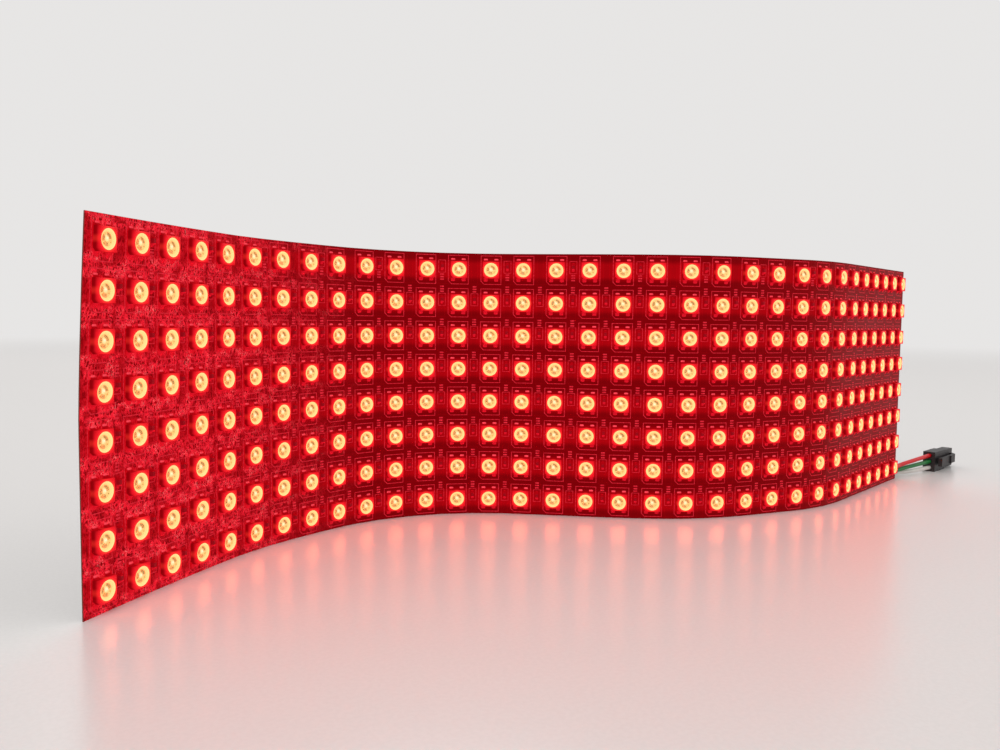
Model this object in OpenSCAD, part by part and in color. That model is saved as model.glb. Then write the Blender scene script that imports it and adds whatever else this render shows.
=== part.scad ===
// Flexible LED dot matrix: a thin flexible circuit that stands on its long edge in an S-bend,
// with rows of square surface-mount LED packages on its front, a small capacitor between each
// two of them, soldering pads on its back, and a three-wire lead that ends in a latched plug.
//
// Frame: +X runs along the chord of the bend, +Z is up, and the LEDs look towards -Y. The origin
// is at the middle of the standing edge's footprint, on the surface that it stands on.

/* [Matrix] */
// Rows of LEDs
rows = 8; // [4:1:10]
// Columns of LEDs
columns = 32; // [8:1:40]
// Distance between neighbouring LEDs, along a row and along a column
pitch = 10; // [9:0.5:14]
// Distance from the outermost LED centres to the edge of the circuit
edge_margin = 5; // [4:0.5:8]

/* [Flexible circuit] */
// Thickness of the circuit, with its cover layers
board_t = 0.3; // [0.2:0.05:0.6]
// Stretch of the circuit that stays flat beyond each side of an LED package
flat_extra = 0.2; // [0.1:0.1:0.5]

/* [LED package] */
// Side of the square housing
led_w = 5; // [4.6:0.1:5.4]
// Height of the package above the circuit
led_h = 1.6; // [1.4:0.1:2]
// Corner cut that marks the first terminal
corner_cut = 0.7; // [0.3:0.1:0.8]
// Diameter of the reflector cup at its mouth
cup_mouth_d = 4.2; // [3.9:0.1:4.4]
// Diameter of the reflector cup at its floor
cup_floor_d = 3; // [2.8:0.1:3.4]
// Depth of the reflector cup
cup_depth = 0.9; // [0.7:0.05:1.1]
// How far the clear filling lies below the mouth of the cup
filling_dip = 0.05; // [0.03:0.01:0.15]

/* [LED terminals] */
// Thickness of the terminal strip
lead_t = 0.15; // [0.1:0.05:0.25]
// Width of a terminal and its solder joint
lead_w = 1.2; // [0.8:0.1:1.5]
// Height to which a terminal climbs the side of the housing
lead_rise = 0.85; // [0.65:0.05:1.1]
// Distance between the two terminals on one side
lead_spacing = 3.2; // [2.6:0.1:3.6]
// Length of a terminal's solder joint along the circuit
fillet_l = 0.8; // [0.5:0.1:1.1]
// Height of a terminal's solder joint
fillet_h = 0.55; // [0.3:0.05:0.6]

/* [Driver chip in the cup] */
// Thickness of the driver chip
chip_t = 0.15; // [0.1:0.01:0.2]
// Length of the driver chip
driver_l = 0.9; // [0.7:0.05:1]
// Width of the driver chip
driver_w = 0.6; // [0.4:0.05:0.65]
// Distance of the driver chip from the middle of the cup
driver_off = 0.85; // [0.6:0.05:0.95]

/* [Capacitors] */
// Length of a capacitor over its end caps
cap_l = 1.6; // [1.4:0.1:2]
// Width and height of a capacitor
cap_w = 0.8; // [0.6:0.05:0.85]
// Length of each metal end cap
cap_end = 0.3; // [0.2:0.05:0.4]
// Height of a capacitor's centre above the centre of the LED beside it
cap_up = 1; // [0.5:0.1:1.4]
// Length of a capacitor's solder joint
cap_fillet_l = 0.45; // [0.3:0.05:0.6]
// Height of a capacitor's solder joint
cap_fillet_h = 0.4; // [0.2:0.05:0.5]

/* [Back pads] */
// Length of a pad along the circuit
pad_l = 4; // [3:0.5:5]
// Height of a pad
pad_w = 2.6; // [2:0.1:3]
// Thickness of the tinned coat on a pad
pad_t = 0.1; // [0.05:0.05:0.2]
// Distance between the centres of neighbouring pads
pad_spacing = 4; // [3.6:0.1:5]
// Sphere radius of the solder mound that holds a wire on its pad
mound_r = 1.6; // [1.4:0.1:1.8]
// Height of the solder mound
mound_h = 1.5; // [1.3:0.1:1.6]
// Distance from the mound's centre to the flat where the wire's cover starts
mound_flat = 0.9; // [0.6:0.1:1.1]

/* [Lead] */
// Outside diameter of each wire
wire_d = 1.6; // [1.2:0.1:1.8]
// Space between the pad and a wire that leaves it
wire_lift = 0.2; // [0.1:0.1:0.5]

/* [Plug] */
// Length of the plug's housing
plug_l = 22; // [20:0.5:26]
// Width of the plug across its three contacts
plug_w = 8; // [7.6:0.1:9]
// Thickness of the plug's body
plug_t = 4.6; // [4.2:0.1:5.4]
// Distance between neighbouring contacts
contact_pitch = 2.5; // [2.2:0.1:2.6]
// Length of the plug's nose, which enters the socket
nose_l = 9.5; // [8:0.5:11]
// How much the nose is set in from the body on every side
nose_step = 0.35; // [0.2:0.05:0.5]
// Diameter of the wire entries
entry_d = 2.1; // [1.9:0.1:2.2]
// Depth of the wire entries
entry_l = 9; // [8:0.5:10]
// Side of the square chambers that hold the contacts
chamber_w = 1.8; // [1.7:0.1:2]
// Side of the openings at the nose, where the pins enter
nose_hole_w = 1; // [0.8:0.1:1.2]
// Thickness of the wall in front of the contacts
nose_wall = 1; // [0.8:0.1:1.5]
// Thickness of the latch arm
latch_t = 0.9; // [0.7:0.1:1.2]
// Width of the latch arm
latch_w = 3.4; // [2.8:0.1:4]
// Space between the latch arm and the body
latch_gap = 1; // [0.7:0.1:1.4]

/* [Contacts] */
// Length of the contact's box
contact_box_l = 7; // [5:0.5:8]
// Space between a contact and the walls of its chamber
contact_clear = 0.15; // [0.1:0.05:0.2]
// Length of the crimp barrel behind the box
crimp_l = 5; // [4:0.5:5.5]

/* [Hidden] */
ROWS_LIST = [for (r = [1 : rows]) r];
$fn = 48;

// The S-bend from left to right: each entry is [gaps between columns, degrees turned over them],
// and a positive turn bends the circuit's right end away from the LED side.
bends = [
    [4, -4], [2, -12], [2, -6], [1, -10], [4, -41], [1, -7], [2, -1],
    [2, 6], [3, 24], [2, 2], [2, 19], [1, 5], [5, 0]
];
bend_steps = 5;      // flats along each bend, so that a capacitor sits on the middle one
cut_over = 0.1;      // how far a cutting tool runs past the face that it opens

// Colours of the pieces
circuit_colour = [0.24, 0.01, 0.03];
housing_colour = [0.93, 0.06, 0.1];
lens_colour = [1, 0.94, 0.62];
tin_colour = [0.93, 0.35, 0.42];
chip_colour = [0.75, 0.45, 0.25];
capacitor_colour = [0.6, 0.12, 0.14];
plug_colour = [0.08, 0.02, 0.03];

// Sizes that follow from the ones above
board_h = 2 * edge_margin + (rows - 1) * pitch;
flat_l = led_w + 2 * flat_extra;
bend_l = pitch - flat_l;
cup_floor_z = led_h - cup_depth;
filling_h = cup_depth - filling_dip;
mid_height = board_h / 2;
back_y = board_t / 2;

// Columns that carry back pads: the lead's, the spare power pads and the far end's data pads
lead_column = columns - 2;
power_column = floor(columns / 2);
far_column = 1;

// ---- The bend -------------------------------------------------------------------------------

function along(angle) = [cos(angle), sin(angle)];
function behind(angle) = [-sin(angle), cos(angle)];
function turned(p, angle) = [p.x * cos(angle) - p.y * sin(angle), p.x * sin(angle) + p.y * cos(angle)];

// Straight distance between the ends of an arc of this length and turn
function arc_chord(length, turn) =
    abs(turn) < 0.001 ? length : length * sin(turn / 2) / (turn * PI / 360);

bend_turns = [for (b = bends) for (k = [1 : b[0]]) b[1] / b[0]];
turns = [for (i = [0 : columns - 1]) i < len(bend_turns) && i < columns - 1 ? bend_turns[i] : 0];

// Point at a share of the bend that follows a column with this centre and heading
function bend_point(centre, heading, turn, share) =
    centre + flat_l / 2 * along(heading)
    + arc_chord(bend_l * share, turn * share) * along(heading + turn * share / 2);

function next_centre(centre, heading, turn) =
    bend_point(centre, heading, turn, 1) + flat_l / 2 * along(heading + turn);

// The bend drawn from its first column, before it is turned on to its chord
drawn_headings = [for (i = 0, h = 0; i < columns; h = h + turns[i], i = i + 1) h];
drawn_centres = [
    for (i = 0, p = [0, 0]; i < columns; p = next_centre(p, drawn_headings[i], turns[i]), i = i + 1) p
];
drawn_start = drawn_centres[0] - edge_margin * along(drawn_headings[0]);
drawn_end = drawn_centres[columns - 1] + edge_margin * along(drawn_headings[columns - 1]);
chord_angle = atan2(drawn_end.y - drawn_start.y, drawn_end.x - drawn_start.x);

headings = [for (h = drawn_headings) h - chord_angle];
laid_centres = [for (p = drawn_centres) turned(p, -chord_angle)];

// Everything that can be the outermost point of the part, seen from above
front_reach = board_t / 2 + led_h;
mound_reach = back_y + pad_t + mound_h;
reach_points = concat(
    [for (i = [0 : columns - 1]) for (side = [-1, 1])
        laid_centres[i] + side * led_w / 2 * along(headings[i]) - front_reach * behind(headings[i])],
    [for (i = [0 : columns - 1]) for (side = [-1, 1])
        laid_centres[i] + side * flat_l / 2 * along(headings[i]) + back_y * behind(headings[i])],
    [for (side = [-1, 1])
        laid_centres[0] - edge_margin * along(headings[0]) + side * back_y * behind(headings[0])],
    [for (side = [-1, 1])
        laid_centres[columns - 1] + edge_margin * along(headings[columns - 1])
        + side * back_y * behind(headings[columns - 1])],
    [laid_centres[lead_column] + mound_reach * behind(headings[lead_column])]
);
footprint_middle = [
    (min([for (p = reach_points) p.x]) + max([for (p = reach_points) p.x])) / 2,
    (min([for (p = reach_points) p.y]) + max([for (p = reach_points) p.y])) / 2
];
centres = [for (p = laid_centres) p - footprint_middle];

// Middle of the flat at the centre of the bend after a column, where a capacitor sits
function gap_middle(i) = (
    bend_point(centres[i], headings[i], turns[i], 2 / bend_steps)
    + bend_point(centres[i], headings[i], turns[i], 3 / bend_steps)) / 2;
function gap_heading(i) = headings[i] + turns[i] / 2;

// Points of the circuit's edge line as [place, heading]: two for each flat, and the bends between
function flat_stations(i) = [
    [centres[i] - (i == 0 ? edge_margin : flat_l / 2) * along(headings[i]), headings[i]],
    [centres[i] + (i == columns - 1 ? edge_margin : flat_l / 2) * along(headings[i]), headings[i]]
];
function bend_stations(i) = [
    for (k = [1 : bend_steps - 1])
        if (i < columns - 1 && abs(turns[i]) > 0.001)
            [bend_point(centres[i], headings[i], turns[i], k / bend_steps),
             headings[i] + turns[i] * k / bend_steps]
];
stations = [for (i = [0 : columns - 1]) each concat(flat_stations(i), bend_stations(i))];

function side_line(offset) = [for (s = stations) s[0] + offset * behind(s[1])];
function reversed(list) = [for (i = [len(list) - 1 : -1 : 0]) list[i]];

function row_height(row) = edge_margin + (row - 1) * pitch;

// The top row has its capacitors in every second gap only
function has_capacitor(row, gap) = row < rows || gap % 2 == 1;

module at_column(i) {
    translate([centres[i].x, centres[i].y, 0])
        rotate(headings[i])
            children();
}

module at_gap(i) {
    translate([gap_middle(i).x, gap_middle(i).y, 0])
        rotate(gap_heading(i))
            children();
}

// Stands its children on the front face: their X runs along the circuit, Y up and Z outwards
module on_front(height) {
    translate([0, -board_t / 2, height])
        rotate([90, 0, 0])
            children();
}

// The same on the back face
module on_back(height) {
    translate([0, back_y, height])
        rotate([90, 0, 180])
            children();
}

module at_leds(row) {
    for (i = [0 : columns - 1])
        at_column(i)
            on_front(row_height(row))
                children();
}

module at_capacitors() {
    for (row = [1 : rows], gap = [0 : columns - 2])
        if (has_capacitor(row, gap))
            at_gap(gap)
                on_front(row_height(row) + cap_up)
                    children();
}

// The four places of an LED's terminals, each with its outward side along +Y
module at_terminals() {
    for (side = [0, 180], x = [-1, 1])
        rotate(side)
            translate([x * lead_spacing / 2, led_w / 2, 0])
                children();
}

// Extrudes a profile drawn in the plane of Y and Z along X, about the middle
module across(width) {
    rotate([90, 0, 90])
        linear_extrude(width, center = true)
            children();
}

// ---- Flexible circuit -----------------------------------------------------------------------

module flex_circuit() {
    color(circuit_colour)
        linear_extrude(board_h)
            polygon(concat(side_line(-board_t / 2), reversed(side_line(board_t / 2))));
}

// ---- LED package ----------------------------------------------------------------------------

// Diameter of the cup at this height above its floor
function cup_d(height) = cup_floor_d + (cup_mouth_d - cup_floor_d) * height / cup_depth;

module housing_outline() {
    half = led_w / 2;
    polygon([
        [-half + corner_cut, -half], [half, -half], [half, half], [-half, half],
        [-half, -half + corner_cut]
    ]);
}

// Moulded reflector housing
module led_housing() {
    difference() {
        linear_extrude(led_h)
            housing_outline();
        translate([0, 0, cup_floor_z])
            cylinder(h = cup_depth + cut_over, d1 = cup_floor_d, d2 = cup_d(cup_depth + cut_over));
    }
}

// Driver chip, bonded to the floor of the cup
module driver_chip() {
    translate([-driver_l / 2, -driver_off - driver_w / 2, cup_floor_z])
        cube([driver_l, driver_w, chip_t]);
}

// Clear filling of the cup, cast round the driver chip
module led_lens() {
    difference() {
        translate([0, 0, cup_floor_z])
            cylinder(h = filling_h, d1 = cup_floor_d, d2 = cup_d(filling_h));
        driver_chip();
    }
}

// Metal strip up an end face at y = 0, with the solder joint that ramps up to it
module soldered_strip(width, thickness, rise, ramp_l, ramp_h) {
    across(width)
        polygon([
            [0, 0], [thickness + ramp_l, 0], [thickness, ramp_h], [thickness, rise], [0, rise]
        ]);
}

module led_housings(row) {
    color(housing_colour)
        at_leds(row)
            led_housing();
}

module led_lenses(row) {
    color(lens_colour)
        at_leds(row)
            led_lens();
}

module led_terminals(row) {
    color(tin_colour)
        at_leds(row)
            at_terminals()
                soldered_strip(lead_w, lead_t, lead_rise, fillet_l, fillet_h);
}

module driver_chips() {
    color(chip_colour)
        for (row = ROWS_LIST)
            at_leds(row)
                driver_chip();
}

// ---- Capacitors -----------------------------------------------------------------------------

module capacitor_bodies() {
    body_l = cap_l - 2 * cap_end;
    color(capacitor_colour)
        at_capacitors()
            translate([-cap_w / 2, -body_l / 2, 0])
                cube([cap_w, body_l, cap_w]);
}

// Tinned end caps, each with its solder joint
module capacitor_ends() {
    color(tin_colour)
        at_capacitors()
            for (side = [0, 180])
                rotate(side)
                    translate([0, cap_l / 2 - cap_end, 0])
                        soldered_strip(cap_w, cap_end, cap_w, cap_fillet_l, cap_fillet_h);
}

// ---- Back pads ------------------------------------------------------------------------------

// Heights of a group of pads about the middle of the back
function pad_heights(count) = [for (k = [0 : count - 1]) mid_height + (k - (count - 1) / 2) * pad_spacing];

module pad_group(column, count) {
    for (height = pad_heights(count))
        at_column(column)
            on_back(height)
                translate([-pad_l / 2, -pad_w / 2, 0])
                    cube([pad_l, pad_w, pad_t]);
}

module back_pads() {
    color(tin_colour) {
        pad_group(lead_column, 3);
        pad_group(power_column, 2);
        pad_group(far_column, 3);
    }
}

// Round mound of solder, with a flat where the wire's cover starts
module wire_solder() {
    color(tin_colour)
        for (height = pad_heights(3))
            at_column(lead_column)
                on_back(height)
                    difference() {
                        translate([0, 0, pad_t + mound_h - mound_r])
                            sphere(mound_r);
                        translate([-2 * mound_r, -2 * mound_r, pad_t - 4 * mound_r])
                            cube(4 * mound_r);
                        translate([mound_flat, -2 * mound_r, -2 * mound_r])
                            cube(4 * mound_r);
                    }
}

// ---- Lead -----------------------------------------------------------------------------------

// The lead's frame: x runs on past the circuit's right end in line with it, y behind it, z up
end_heading = headings[columns - 1];
end_point = centres[columns - 1] + edge_margin * along(end_heading);

module at_right_end() {
    translate([end_point.x, end_point.y, 0])
        rotate(end_heading)
            children();
}

plug_at = [27, -5];      // where the wires enter the plug, in the lead's frame
plug_turn = -3;          // how far the plug is turned from the line of the circuit's end

// Where a wire starts on its solder mound, and where it meets its contact
function wire_start(k) = [
    -(edge_margin + pitch) - mound_flat,
    back_y + pad_t + wire_lift + wire_d / 2,
    pad_heights(3)[k]
];
function contact_height(k) = plug_w / 2 + (k - 1) * contact_pitch;
function in_plug(k, depth) = [
    plug_at.x + depth * cos(plug_turn),
    plug_at.y + depth * sin(plug_turn),
    contact_height(k)
];
contact_start = entry_l - crimp_l;

// Each wire leaves its pad level, turns down behind the circuit, lies on the surface and runs on
// to the plug. The points between its start and the plug, in the lead's frame.
power_points = [
    [-24, 1.3, 44], [-35, 1.3, 41], [-43, 1.3, 33], [-45.5, 1.3, 22], [-42, 1.2, 10.5],
    [-34, 1.2, 3.2], [-24, 1.2, 1], [-12, 1.2, 1.5], [-2, 1.2, 2.9], [6, 0.2, 4.3], [16, -3.1, 5.8]
];
data_points = [
    [-24, 1.4, 40], [-34, 1.7, 37.2], [-41, 2.1, 30], [-43.5, 2.4, 20], [-40, 2.7, 9.5],
    [-33, 2.9, 3], [-24, 3, 1], [-12, 3, 1], [-3, 2.8, 1.5], [6, 1, 2.4], [16, -2.6, 3.5]
];
ground_points = [
    [-24, 1.5, 36], [-33, 2.2, 33.5], [-39, 3, 27], [-41.5, 3.8, 18], [-38, 4.4, 8.8],
    [-32, 4.7, 2.9], [-24, 4.8, 1.1], [-12, 4.8, 0.9], [-3, 4.5, 0.9], [6, 2.3, 1], [16, -1.9, 1.2]
];

wire_rings = 26;
wire_sides = 8;

function route(k, points) = concat(
    [wire_start(k)], points, [in_plug(k, 0), in_plug(k, contact_start)]
);

// Point of a smooth curve through the route, at a place counted in points from its start
function curve_part(a, b, c, d, t) =
    0.5 * (2 * b + (c - a) * t + (2 * a - 5 * b + 4 * c - d) * t * t + (3 * b - a - 3 * c + d) * t * t * t);
function curve_point(points, place) =
    let (last = len(points) - 1, i = min(floor(place), last - 1))
    curve_part(
        i == 0 ? 2 * points[0] - points[1] : points[i - 1],
        points[i],
        points[i + 1],
        i == last - 1 ? 2 * points[last] - points[last - 1] : points[i + 2],
        place - i
    );
function curve_points(points, count) =
    [for (k = [0 : count - 1]) curve_point(points, k * (len(points) - 1) / (count - 1))];

function unit(v) = v / norm(v);
function tangent(path, i) = unit(path[min(i + 1, len(path) - 1)] - path[max(i - 1, 0)]);

// One ring of the tube: its first axis is level with the circuit's plane
function ring(path, i, direction) =
    let (up = unit(cross(direction, [0, 1, 0])), out = cross(up, direction))
    [for (k = [0 : wire_sides - 1])
        let (a = (k + 0.5) * 360 / wire_sides)
        path[i] + wire_d / 2 * (cos(a) * up + sin(a) * out)];

module wire_tube(path, first_direction, last_direction) {
    count = len(path);
    rings = [
        for (i = [0 : count - 1])
            each ring(path, i, i == 0 ? first_direction : i == count - 1 ? last_direction : tangent(path, i))
    ];
    n = wire_sides;
    side_faces = [
        for (i = [0 : count - 2], k = [0 : n - 1], half = [0, 1])
            let (a = i * n + k, b = i * n + (k + 1) % n)
            half == 0 ? [a, a + n, b] : [b, a + n, b + n]
    ];
    start_face = [for (k = [0 : n - 1]) k];
    end_face = [for (k = [n - 1 : -1 : 0]) (count - 1) * n + k];
    polyhedron(points = rings, faces = concat([start_face], side_faces, [end_face]));
}

module wire(k, points) {
    at_right_end()
        wire_tube(
            curve_points(route(k, points), wire_rings),
            [-1, 0, 0],
            [cos(plug_turn), sin(plug_turn), 0]
        );
}

module power_wire() {
    color(housing_colour)
        wire(2, power_points);
}

module data_wire() {
    color([0.1, 0.35, 0.12])
        wire(1, data_points);
}

module ground_wire() {
    color([0.85, 0.8, 0.8])
        wire(0, ground_points);
}

// ---- Plug -----------------------------------------------------------------------------------

// Lays a plug drawn with X to its nose, Y across its contacts and Z to its latch on its side
module at_plug() {
    at_right_end()
        translate([plug_at.x, plug_at.y, plug_w / 2])
            rotate(plug_turn)
                rotate([90, 0, 0])
                    children();
}

module at_contacts() {
    for (k = [-1 : 1])
        translate([0, k * contact_pitch, 0])
            children();
}

module bar(from, to, width, low, high) {
    translate([from, -width / 2, low])
        cube([to - from, width, high - low]);
}

grip_count = 4;
grip_step = 1.2;
grip_depth = 0.25;
grip_w = 0.6;

module plug_body() {
    half_t = plug_t / 2;
    difference() {
        union() {
            bar(0, plug_l - nose_l, plug_w, -half_t, half_t);
            bar(plug_l - nose_l, plug_l, plug_w - 2 * nose_step, -half_t + nose_step, half_t - nose_step);
        }
        // grip grooves across the underside, by the wires
        for (k = [1 : grip_count])
            bar(k * grip_step, k * grip_step + grip_w, plug_w + cut_over,
                -half_t - cut_over, -half_t + grip_depth);
    }
}

latch_step = 0.6;    // height of the catch and of the thumb press above the arm
root_back = 0.6;     // from the nose's tip back to the latch's root
root_l = 1.4;        // length of the root where it stands on the nose
root_lip = 0.5;      // height of the root's upright front
rise_l = 2.4;        // length over which the root rises to the arm
rise_wall = 0.6;     // how much further back the arm's underside starts
catch_l = 2;         // length of the catch, with its slope
catch_flat = 0.6;    // length of the catch's flat top
press_from = 1;      // from the wires' end of the body to the thumb press
press_l = 2.5;       // length of the thumb press, with its slope
press_slope = 0.8;   // length of the thumb press's slope

// Latch arm: it springs from the nose, passes over the body and ends in a thumb press
module plug_latch() {
    nose_top = plug_t / 2 - nose_step;
    arm_low = plug_t / 2 + latch_gap;
    arm_high = arm_low + latch_t;
    raised = arm_high + latch_step;
    root = plug_l - root_back;
    shoulder = plug_l - nose_l;
    press_end = press_from + press_l;
    rotate([90, 0, 0])
        linear_extrude(latch_w, center = true)
            polygon([
                [root, nose_top - cut_over], [root, nose_top + root_lip], [root - rise_l, arm_high],
                [shoulder + catch_l, arm_high], [shoulder + catch_flat, raised],
                [shoulder, raised], [shoulder, arm_high],
                [press_end, arm_high], [press_end - press_slope, raised], [press_from, raised],
                [press_from, arm_low], [root - rise_l - rise_wall, arm_low],
                [root - root_l, nose_top - cut_over]
            ]);
}

module plug_housing() {
    color(plug_colour)
        at_plug()
            difference() {
                union() {
                    plug_body();
                    plug_latch();
                }
                at_contacts() {
                    translate([-cut_over, 0, 0])
                        rotate([0, 90, 0])
                            cylinder(h = entry_l + cut_over, d = entry_d);
                    bar(entry_l - cut_over, plug_l - nose_wall, chamber_w, -chamber_w / 2, chamber_w / 2);
                    bar(entry_l, plug_l + cut_over, nose_hole_w, -nose_hole_w / 2, nose_hole_w / 2);
                }
            }
}

// Crimp contact: a barrel that grips the wire, and a box that takes the pin
module plug_contact() {
    box_w = chamber_w - 2 * contact_clear;
    socket_w = nose_hole_w - 2 * contact_clear;
    difference() {
        union() {
            translate([contact_start, 0, 0])
                rotate([0, 90, 0])
                    cylinder(h = crimp_l + contact_clear, d = min(wire_d, entry_d - 2 * contact_clear));
            bar(entry_l, entry_l + contact_box_l, box_w, -box_w / 2, box_w / 2);
        }
        bar(entry_l + 1, entry_l + contact_box_l + cut_over, socket_w, -socket_w / 2, socket_w / 2);
    }
}

module plug_contacts() {
    color(tin_colour)
        at_plug()
            at_contacts()
                plug_contact();
}

// ---- Nodes ----------------------------------------------------------------------------------

flex_circuit();
for (r = ROWS_LIST) {
    led_housings(r);
    led_lenses(r);
    led_terminals(r);
}
driver_chips();
capacitor_bodies();
capacitor_ends();
back_pads();
wire_solder();
power_wire();
data_wire();
ground_wire();
plug_housing();
plug_contacts();
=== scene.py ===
import math
import random

import bpy
from mathutils import Matrix, Vector


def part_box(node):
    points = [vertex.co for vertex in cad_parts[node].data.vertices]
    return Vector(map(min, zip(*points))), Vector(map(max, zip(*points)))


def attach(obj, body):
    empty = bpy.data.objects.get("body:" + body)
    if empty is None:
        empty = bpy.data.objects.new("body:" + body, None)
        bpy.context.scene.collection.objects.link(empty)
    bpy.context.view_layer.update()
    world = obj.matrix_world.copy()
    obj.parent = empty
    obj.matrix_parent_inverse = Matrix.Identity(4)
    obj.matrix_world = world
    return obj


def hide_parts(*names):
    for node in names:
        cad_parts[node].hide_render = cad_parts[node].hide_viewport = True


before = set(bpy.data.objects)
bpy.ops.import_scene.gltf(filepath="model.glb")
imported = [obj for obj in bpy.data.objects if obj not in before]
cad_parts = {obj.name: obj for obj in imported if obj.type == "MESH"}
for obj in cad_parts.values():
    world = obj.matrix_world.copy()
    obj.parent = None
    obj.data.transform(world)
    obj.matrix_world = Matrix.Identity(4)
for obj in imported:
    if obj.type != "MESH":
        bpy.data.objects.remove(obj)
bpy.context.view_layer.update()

MM = 0.001

# ---- Camera ---------------------------------------------------------------------------------
# It stands before the circuit's left end, a little below the top edge, and looks along the
# S-bend to the end where the lead leaves.

camera_height, camera_tilt, camera_roll, camera_heading = 0.0606, -3.83, 0.69, 54.84

camera_data = bpy.data.cameras.new("camera")
camera_data.sensor_width = 36
camera_data.lens = 30.79
camera_data.clip_start, camera_data.clip_end = 0.01, 30
camera = bpy.data.objects.new("camera", camera_data)
bpy.context.scene.collection.objects.link(camera)
bpy.context.scene.camera = camera
camera.matrix_world = (
    Matrix.Translation((-0.17217, -0.19532, camera_height))
    @ Matrix.Rotation(math.radians(camera_heading - 90), 4, "Z")
    @ Matrix.Rotation(math.radians(90 + camera_tilt), 4, "X")
    @ Matrix.Rotation(math.radians(camera_roll), 4, "Z")
)

# ---- Lead -----------------------------------------------------------------------------------
# Three stranded wires in soft plastic covers. They are soldered to pads on the back, turn down
# behind the circuit and lie on the table as far as the plug. They hang on nothing else.

# The circuit's bend from left to right: [gaps between columns, degrees turned over them]
bends = [
    [4, -4], [2, -12], [2, -6], [1, -10], [4, -41], [1, -7], [2, -1],
    [2, 6], [3, 24], [2, 2], [2, 19], [1, 5], [5, 0],
]
rows, columns, pitch, edge_margin = 8, 32, 10, 5
board_t, flat_l = 0.3, 5.4
bend_l = pitch - flat_l
board_l, board_h = columns * pitch, rows * pitch


def along(heading):
    return Vector((math.cos(heading), math.sin(heading)))


def behind(heading):
    return Vector((-math.sin(heading), math.cos(heading)))


def bend_point(centre, heading, turn, share):
    """Place at a share of the bend that follows a column, on its arc."""
    half = turn * share / 2
    chord = bend_l * share * (math.sin(half) / half if abs(half) > 1e-7 else 1)
    return centre + flat_l / 2 * along(heading) + chord * along(heading + half)


turns = [math.radians(turn / gaps) for gaps, turn in bends for _ in range(gaps)]
drawn = [(Vector((0, 0)), 0.0)]
for turn in turns:
    centre, heading = drawn[-1]
    after = bend_point(centre, heading, turn, 1) + flat_l / 2 * along(heading + turn)
    drawn.append((after, heading + turn))
chord = (drawn[-1][0] + edge_margin * along(drawn[-1][1])) - (drawn[0][0] - edge_margin * along(0))
chord_angle = math.atan2(chord.y, chord.x)
laid = [(Matrix.Rotation(-chord_angle, 2) @ p, h - chord_angle) for p, h in drawn]
left_end = laid[0][0] - edge_margin * along(laid[0][1])
board_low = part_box("flex_circuit")[0]
half_thickness = board_t / 2 * abs(math.sin(laid[0][1]))
lowest_y = min((p - board_t / 2 * behind(h) - side * flat_l / 2 * along(h)).y
               for p, h in laid for side in (-1, 1))
shift = Vector((board_low.x / MM + half_thickness - left_end.x, board_low.y / MM - lowest_y))
columns_at = [(p + shift, h) for p, h in laid]


def circuit_at(s):
    """Middle of the circuit's thickness, and its heading, at s mm from the left edge."""
    column = min(max(int(s // pitch), 0), columns - 1)
    off = s - edge_margin - column * pitch
    if off > flat_l / 2 and column < columns - 1:
        share = (off - flat_l / 2) / bend_l
    elif off < -flat_l / 2 and column > 0:
        column -= 1
        share = 1 + (off + flat_l / 2) / bend_l
    else:
        centre, heading = columns_at[column]
        return centre + off * along(heading), heading
    centre, heading = columns_at[column]
    turn = turns[column]
    return bend_point(centre, heading, turn, share), heading + turn * share


class Shade:
    """A socket of a material's nodes. Arithmetic on it adds the Math nodes."""

    def __init__(self, finish, socket):
        self.finish = finish
        self.socket = socket

    def math(self, operation, first, second=0.0):
        return self.finish.node("ShaderNodeMath", {"operation": operation}, {0: first, 1: second})

    def __add__(self, other):
        return self.math("ADD", self, other)

    def __sub__(self, other):
        return self.math("SUBTRACT", self, other)

    def __rsub__(self, other):
        return self.math("SUBTRACT", other, self)

    def __mul__(self, other):
        return self.math("MULTIPLY", self, other)

    def __truediv__(self, other):
        return self.math("DIVIDE", self, other)

    def __mod__(self, other):
        return self.math("FLOORED_MODULO", self, other)

    def __pow__(self, other):
        return self.math("POWER", self, other)

    def __abs__(self):
        return self.math("ABSOLUTE", self)

    __radd__ = __add__
    __rmul__ = __mul__

    def larger(self, other):
        return self.math("MAXIMUM", self, other)

    def smaller(self, other):
        return self.math("MINIMUM", self, other)

    def rise(self, low, high):
        """From 0 at low to 1 at high, eased at both ends."""
        return self.finish.node(
            "ShaderNodeMapRange", {"interpolation_type": "SMOOTHSTEP"},
            {"Value": self, "From Min": low, "From Max": high})

    def between(self, first, second):
        """The colour first where this is 0 and second where it is 1."""
        return self.finish.node(
            "ShaderNodeMix", {"data_type": "RGBA"}, {0: self, 6: first, 7: second}, output=2)

    def times(self, factor):
        """This colour or vector made larger or smaller."""
        return self.finish.node(
            "ShaderNodeVectorMath", {"operation": "SCALE"}, {0: self, "Scale": factor})


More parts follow.
